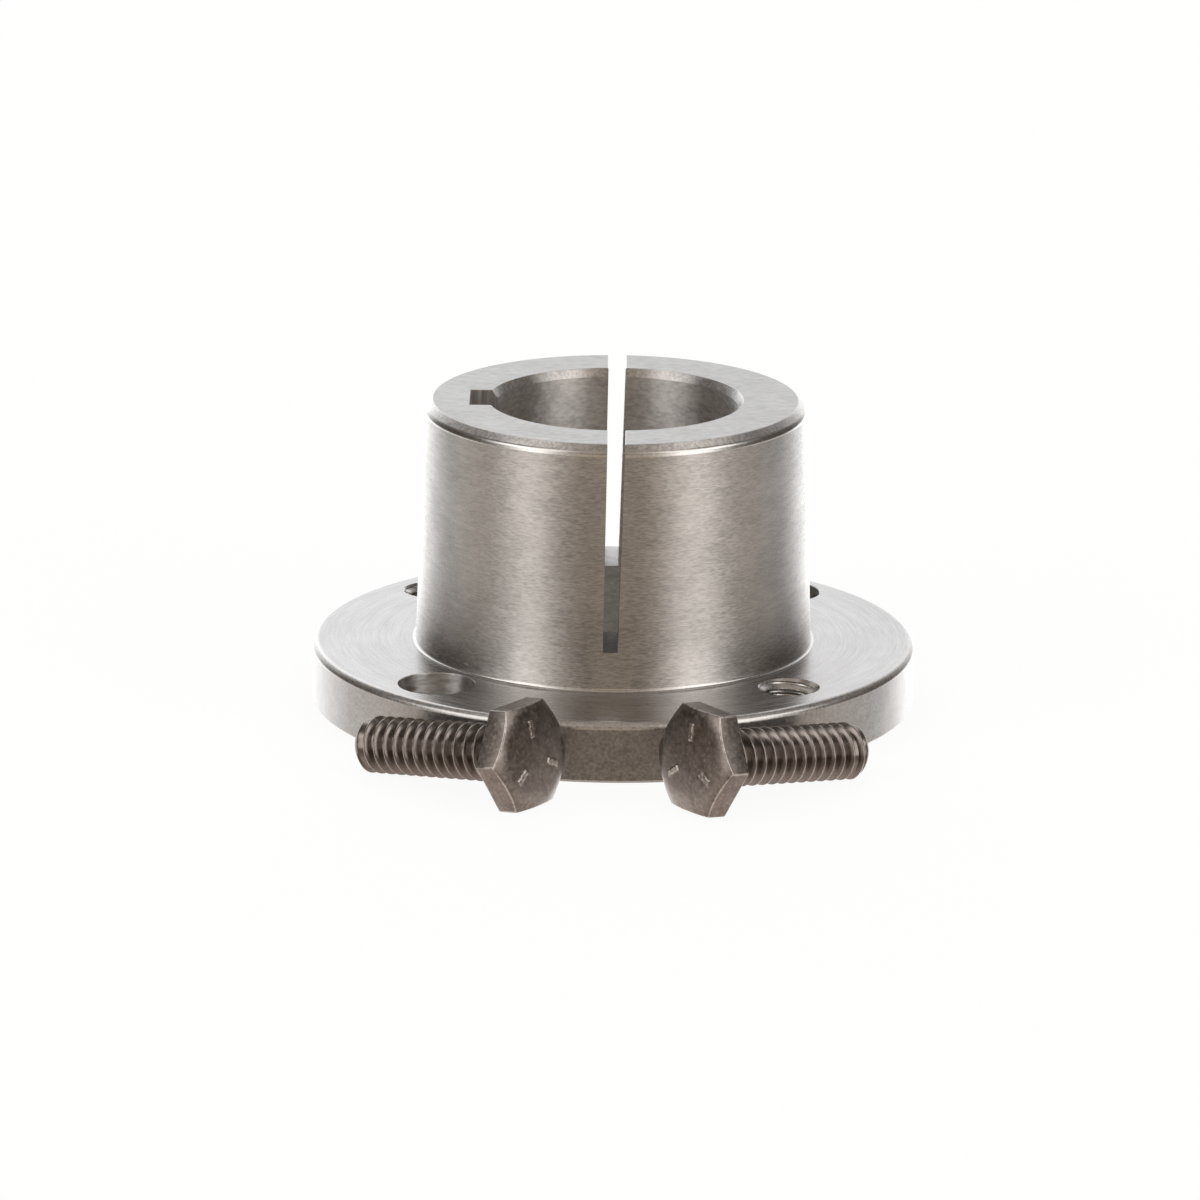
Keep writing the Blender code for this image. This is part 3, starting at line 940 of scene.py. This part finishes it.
def head_spoke(angle, side):
    """Points from near the axis over the top, round the edge and down one side of the head."""
    limit = side - HEAD_EDGE
    rings = int((HEAD_ACROSS_FLATS / 2.0 - HEAD_EDGE) / HEAD_RING_STEP)
    spoke = []
    for ring in range(1, rings + 1):
        radius = HEAD_RING_STEP * ring
        if ring > rings - HEAD_BLEND_RINGS:
            share = (ring - rings + HEAD_BLEND_RINGS) / HEAD_BLEND_RINGS
            radius += (limit - HEAD_RING_STEP * rings) * share
        x = radius * math.cos(angle)
        y = radius * math.sin(angle)
        spoke.append(Vector((x, y, -HEAD_HEIGHT + head_top(radius) - mark_rise(x, y))))
    inner = Vector((limit, -HEAD_HEIGHT + head_top(limit)))
    corner = Vector((side, -HEAD_HEIGHT + head_top(side)))
    below = Vector((side, 0.0))
    section = corner_arc(inner, corner, below, HEAD_EDGE, HEAD_TOP_EDGE_STEPS)
    section += corner_arc(corner, below, Vector((0.0, 0.0)), HEAD_EDGE, HEAD_LOW_EDGE_STEPS)
    section += [Vector((SCREW_ROOT_RADIUS, 0.0))]
    return spoke + [Vector((p.x * math.cos(angle), p.x * math.sin(angle), p.y)) for p in section]


def head_body(materials):
    """A hexagon with a 30 degree chamfer, a slightly domed top and three raised dashes."""
    offsets = list(HEAD_SIDE_ANGLES) + [30.0] + [60.0 - turn for turn in HEAD_SIDE_ANGLES[:0:-1]]
    corner_end, corner_start = HEAD_CORNER_DEGREES
    bm = bmesh.new()
    spokes = []
    near_corner = []
    for corner in range(6):
        for offset in offsets:
            near = math.radians(min(offset, 60.0 - offset))
            angle = math.radians(60.0 * corner + offset)
            points = head_spoke(angle, hexagon_radius(near))
            spokes.append([bm.verts.new(point) for point in points])
            near_corner.append(offset < corner_end or offset > corner_start)
    peak = bm.verts.new((0.0, 0.0, -HEAD_HEIGHT + head_top(0.0)))
    last_row = len(spokes[0]) - 1
    first_edge_row = last_row - HEAD_TOP_EDGE_STEPS - HEAD_LOW_EDGE_STEPS - 2
    side_row = first_edge_row + HEAD_TOP_EDGE_STEPS
    for this, following, at_corner in zip(spokes, spokes[1:] + spokes[:1], near_corner):
        bm.faces.new((peak, this[0], following[0]))
        for row in range(last_row):
            face = bm.faces.new((this[row], this[row + 1], following[row + 1], following[row]))
            rounded = row >= first_edge_row and (at_corner or row != side_row)
            middle = face.calc_center_median()
            proud = row < first_edge_row and mark_rise(middle.x, middle.y) > 0.5 * MARK_HEIGHT
            # rounded edges and raised dashes take the lighter finish, worn oxide and painted
            # highlight
            face.material_index = int(rounded or proud)
    bm.faces.new([spoke[-1] for spoke in spokes])
    bmesh.ops.recalc_face_normals(bm, faces=bm.faces)
    return object_from_bmesh(bm, "head", materials)


def shank_envelope(materials):
    """The space the thread is kept inside, with the rounded chamfer of the tip."""
    slope = (SCREW_CREST_RADIUS - TIP_RADIUS) / TIP_CHAMFER_LENGTH
    wide = SCREW_CREST_RADIUS + CUT_OVERRUN
    shoulder = SHANK_LENGTH - (wide - TIP_RADIUS) / slope
    low = -HEAD_OVERLAP - CUT_OVERRUN
    corners = [
        (0.0, SHANK_LENGTH, 0.0),
        (TIP_RADIUS, SHANK_LENGTH, TIP_ROUND),
        (wide, shoulder, 0.0),
        (wide, low, 0.0),
        (0.0, low, 0.0),
    ]
    return turned_solid("envelope", corners, ENVELOPE_STEPS, materials)


def tip_fill(materials):
    """Solid metal near the tip, where the thread is not yet rolled to its full depth."""
    corners = [
        (0.0, SHANK_LENGTH + CUT_OVERRUN, 0.0),
        (TIP_FILL_RADIUS, SHANK_LENGTH + CUT_OVERRUN, 0.0),
        (TIP_FILL_RADIUS, SHANK_LENGTH - TIP_CHAMFER_LENGTH, 0.0),
        (TIP_FILL_ROOT, SHANK_LENGTH - TIP_FILL_LENGTH, 0.0),
        (0.0, SHANK_LENGTH - TIP_FILL_LENGTH, 0.0),
    ]
    return turned_solid("tip", corners, SHANK_STEPS, materials)


def neck_body(materials):
    """Fillet under the head and the cone where the thread runs out."""
    corners = [
        (0.0, NECK_LENGTH, 0.0),
        (NECK_THREAD_RADIUS, NECK_LENGTH, 0.0),
        (NECK_HEAD_RADIUS, NECK_FILLET, NECK_ROUND),
        (NECK_HEAD_RADIUS + NECK_FILLET, 0.0, 0.0),
        (NECK_HEAD_RADIUS + NECK_FILLET, -HEAD_OVERLAP, 0.0),
        (0.0, -HEAD_OVERLAP, 0.0),
    ]
    return turned_solid("neck", corners, SHANK_STEPS, materials)


def build_screw(node, body, place, forged, rolled, wear_and_sheen, pointed):
    name = node + "_finished"
    top = SHANK_LENGTH + SMALL_OVERRUN
    bm = thread_bmesh(SCREW_ROOT_RADIUS, SCREW_CREST_RADIUS, THREAD_START, top, SCREW_THREAD_STEPS)
    screw = object_from_bmesh(bm, name, [rolled, forged])
    boolean(screw, [tip_fill([rolled])], "UNION")
    boolean(screw, [shank_envelope([pointed])], "INTERSECT")
    boolean(screw, [neck_body([rolled]), head_body([forged, wear_and_sheen])], "UNION")
    lay_in_place(screw, place)
    smooth_by_angle(screw)
    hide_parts(node)
    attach(screw, body)


def build_screws():
    finishes = make_materials("oxide_", oxide_material, OXIDE_FINISHES)
    for node, (body, x, setback, yaw) in SCREWS.items():
        place = screw_matrix(AXIS.x + x, AXIS.y + setback, yaw)
        build_screw(node, body, place, **finishes)


# ---- studio

def floor_piece(name, bm, drop, diffuse, glow):
    """A level piece of the floor, set drop below the part, with its own even glow."""
    floor = object_from_bmesh(bm, name)
    material, _, shader = new_material(name)
    shader.inputs["Base Color"].default_value = (diffuse, diffuse, diffuse, 1.0)
    shader.inputs["Roughness"].default_value = FLOOR_ROUGHNESS
    shader.inputs["Specular IOR Level"].default_value = 0.0
    shader.inputs["Emission Color"].default_value = (1.0, 1.0, 1.0, 1.0)
    shader.inputs["Emission Strength"].default_value = glow
    floor.data.materials.append(material)
    floor.location = (AXIS.x, AXIS.y, -drop)
    return floor


def build_floor():
    """A white table that glows evenly, and the dim patch of it the flange stands on."""
    bm = bmesh.new()
    bmesh.ops.create_grid(bm, x_segments=1, y_segments=1, size=FLOOR_SIZE / 2.0)
    table = floor_piece("floor", bm, FLOOR_DROP, FLOOR_DIFFUSE, FLOOR_GLOW)
    table.visible_glossy = False
    bm = bmesh.new()
    bmesh.ops.create_circle(bm, cap_ends=True, segments=PATCH_SEGMENTS, radius=PATCH_RADIUS)
    floor_piece("floor_under_flange", bm, PATCH_DROP, PATCH_DIFFUSE, PATCH_GLOW)


def ramp_node(tree, factor, stops):
    """Colours round the room from a table of (degrees, brightness, warmth)."""
    ramp = add_node(tree, "ShaderNodeValToRGB", inputs={"Fac": factor})
    ramp.color_ramp.interpolation = "LINEAR"
    while len(ramp.color_ramp.elements) < len(stops):
        ramp.color_ramp.elements.new(0.5)
    for element, (degrees, level, warmth) in zip(ramp.color_ramp.elements, stops):
        element.position = degrees / 360.0 + 0.5
        shade = level / ROOM_GAIN
        element.color = (shade * (1.0 + warmth), shade, shade * (1.0 - warmth), 1.0)
    return ramp.outputs["Color"]


ROOM_GAIN = 3.0

# Degrees round from the camera, positive to its right; brightness; warmth
ROOM_LOW = (
    (-180.0, 2.3, -0.01),
    (-150.0, 2.3, -0.01),
    (-134.0, 1.8, 0.00),
    (-118.0, 1.05, 0.03),
    (-106.0, 1.30, 0.05),
    (-90.0, 1.05, 0.09),
    (-75.0, 0.50, 0.12),
    (-60.0, 0.36, 0.14),
    (-30.0, 0.28, 0.20),
    (0.0, 0.20, 0.22),
    (30.0, 0.28, 0.20),
    (60.0, 0.36, 0.16),
    (75.0, 0.55, 0.12),
    (90.0, 0.90, 0.09),
    (106.0, 0.90, 0.05),
    (118.0, 0.80, 0.03),
    (131.0, 1.40, 0.00),
    (144.0, 2.60, -0.01),
    (180.0, 2.50, -0.01),
)
ROOM_HIGH = (
    (-180.0, 1.15, -0.01),
    (-160.0, 2.10, -0.02),
    (-149.0, 1.15, 0.00),
    (-134.0, 0.12, 0.12),
    (-110.0, 0.07, 0.16),
    (-90.0, 0.10, 0.14),
    (-76.0, 0.30, 0.08),
    (-67.0, 0.72, 0.05),
    (-60.0, 1.45, 0.04),
    (-52.0, 2.20, 0.04),
    (-44.0, 1.95, 0.04),
    (-36.0, 0.80, 0.06),
    (-28.0, 0.54, 0.12),
    (-18.0, 0.45, 0.20),
    (0.0, 0.41, 0.22),
    (18.0, 0.43, 0.20),
    (26.0, 0.62, 0.14),
    (34.0, 1.30, 0.06),
    (41.0, 2.05, 0.04),
    (50.0, 2.15, 0.04),
    (58.0, 1.80, 0.04),
    (66.0, 0.72, 0.05),
    (75.0, 0.20, 0.08),
    (90.0, 0.12, 0.14),
    (110.0, 0.08, 0.16),
    (134.0, 0.12, 0.12),
    (147.0, 0.55, 0.02),
    (160.0, 1.60, -0.01),
    (180.0, 1.10, -0.01),
)
ROOM_STRIP = (
    (-180.0, 1.00, -0.01),
    (-160.0, 1.80, -0.01),
    (-149.0, 1.05, 0.00),
    (-130.0, 0.20, 0.12),
    (-106.0, 0.15, 0.10),
    (-92.0, 0.30, 0.05),
    (-80.0, 2.10, 0.02),
    (-66.0, 2.50, 0.02),
    (-54.0, 1.80, 0.03),
    (-46.0, 1.70, 0.04),
    (-38.0, 0.90, 0.06),
    (-30.0, 0.30, 0.12),
    (0.0, 0.18, 0.22),
    (28.0, 0.34, 0.12),
    (36.0, 1.00, 0.06),
    (44.0, 1.70, 0.04),
    (56.0, 1.80, 0.03),
    (66.0, 2.50, 0.03),
    (80.0, 2.10, 0.03),
    (92.0, 0.30, 0.06),
    (106.0, 0.15, 0.10),
    (130.0, 0.20, 0.12),
    (147.0, 0.50, 0.02),
    (157.0, 1.00, -0.01),
    (180.0, 1.00, -0.01),
)
ROOM_TOP = (0.40 / ROOM_GAIN, 0.35 / ROOM_GAIN, 0.31 / ROOM_GAIN, 1.0)
ROOM_BOTTOM = (0.90 / ROOM_GAIN, 0.80 / ROOM_GAIN, 0.73 / ROOM_GAIN, 1.0)

# Heights, as the sine of the elevation, between which one band of the room fades into the next
LOW_TO_HIGH = (-0.14, -0.05)
HIGH_TO_STRIP = (0.42, 0.50)
STRIP_TO_HIGH = (0.68, 0.76)
HIGH_TO_TOP = (0.76, 0.92)
LOW_TO_BOTTOM = (-0.42, -0.78)


def build_world():
    """A white tent around the part.

    It is dark towards the camera and overhead, with a tall soft box to each side of the
    camera, dark again beyond them and white behind; below the horizon is a white table.
    """
    world = bpy.data.worlds.new("studio")
    bpy.context.scene.world = world
    world.use_nodes = True
    tree = world.node_tree
    background = tree.nodes["Background"]
    toward = add_node(tree, "ShaderNodeTexCoord").outputs["Generated"]
    split = add_node(tree, "ShaderNodeSeparateXYZ", inputs={0: toward})
    back = math_node(tree, "MULTIPLY", split.outputs[1], -1.0)
    around = math_node(tree, "ARCTAN2", split.outputs[0], back)
    share = math_node(tree, "ADD", math_node(tree, "DIVIDE", around, math.tau), 0.5)
    height = split.outputs[2]

    def fade(band):
        return map_range(tree, height, *band, 0.0, 1.0)

    low = ramp_node(tree, share, ROOM_LOW)
    high = ramp_node(tree, share, ROOM_HIGH)
    strip = ramp_node(tree, share, ROOM_STRIP)
    room = mix_colour(tree, fade(LOW_TO_HIGH), low, high)
    strip_end = map_range(tree, height, *STRIP_TO_HIGH, 1.0, 0.0)
    strip_share = math_node(tree, "MULTIPLY", fade(HIGH_TO_STRIP), strip_end)
    room = mix_colour(tree, strip_share, room, strip)
    room = mix_colour(tree, fade(HIGH_TO_TOP), room, ROOM_TOP)
    room = mix_colour(tree, fade(LOW_TO_BOTTOM), room, ROOM_BOTTOM)
    tree.links.new(room, background.inputs["Color"])
    background.inputs["Strength"].default_value = ROOM_GAIN


def build_camera():
    data = bpy.data.cameras.new("camera")
    data.sensor_width = SENSOR
    data.lens = LENS
    data.clip_start, data.clip_end = CAMERA_CLIP
    camera = bpy.data.objects.new("camera", data)
    bpy.context.scene.collection.objects.link(camera)
    pitch = math.radians(CAMERA_PITCH)
    yaw = math.radians(CAMERA_YAW)
    level = math.cos(pitch)
    forward = Vector((-math.sin(yaw) * level, math.cos(yaw) * level, -math.sin(pitch)))
    right = forward.cross(Vector(UP)).normalized()
    up = right.cross(forward)
    matrix = Matrix((right, up, -forward)).transposed().to_4x4()
    matrix = matrix @ Matrix.Rotation(math.radians(CAMERA_ROLL), 4, "Z")
    matrix.translation = AXIS + Vector((0.0, -CAMERA_BACK, CAMERA_HEIGHT))
    camera.matrix_world = matrix
    bpy.context.scene.camera = camera


bpy.context.scene.view_settings.view_transform = "Standard"
build_camera()
build_world()
build_floor()
build_bushing()
build_screws()
